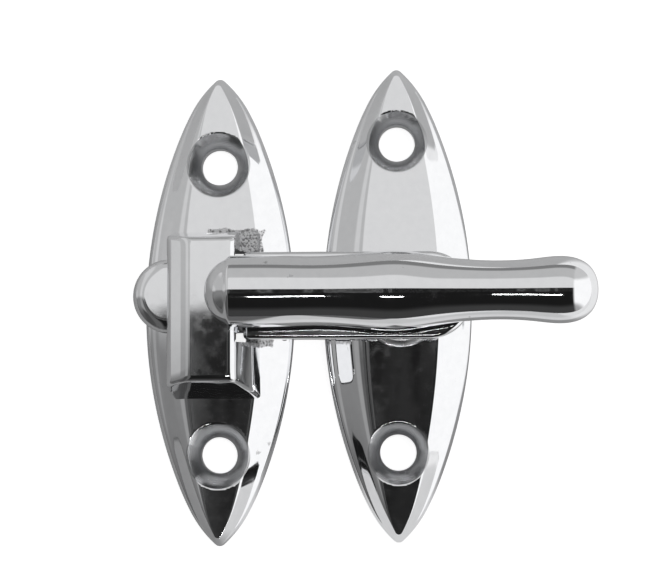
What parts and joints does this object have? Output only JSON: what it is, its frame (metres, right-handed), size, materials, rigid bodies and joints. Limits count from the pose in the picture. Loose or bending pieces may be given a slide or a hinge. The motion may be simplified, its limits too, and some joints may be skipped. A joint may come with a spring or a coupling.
{
  "type": "cabinet latch",
  "caption": "Sprung pull latch for a cabinet door: a long turned grip on a hooked lever, pivoting in a pointed oval plate, and a matching strike with a round keeper.",
  "frame": {"origin": "centre of the latch plate's screw pattern on its back face", "axes": "+X from the latch plate to the strike plate, +Y along both plates, +Z out of the cabinet front"},
  "size_m": [0.0536, 0.0581, 0.021],
  "materials": {
    "polished_plate": "polished",
    "polished_lever": "polished",
    "polished_stud": "polished",
    "steel_pin": "satin",
    "spring_steel": "satin"
  },
  "bodies": {
    "plates": {"latch_plate": "polished_plate", "pivot_pin": "steel_pin", "return_spring": "spring_steel", "strike_plate": "polished_plate", "keeper_stud": "polished_stud"},
    "lever": {"lever": "polished_lever"}
  },
  "joints": [
    {"name": "lever_pull", "type": "hinge", "parent": "plates", "child": "lever", "pos_m": [0, 0.0014, 0.0073], "axis": [0, -1, 0], "range_deg": [0, 30], "stiffness_Nm_per_rad": 0.065, "springref_deg": -57.3, "deforming": ["return_spring"]}
  ]
}
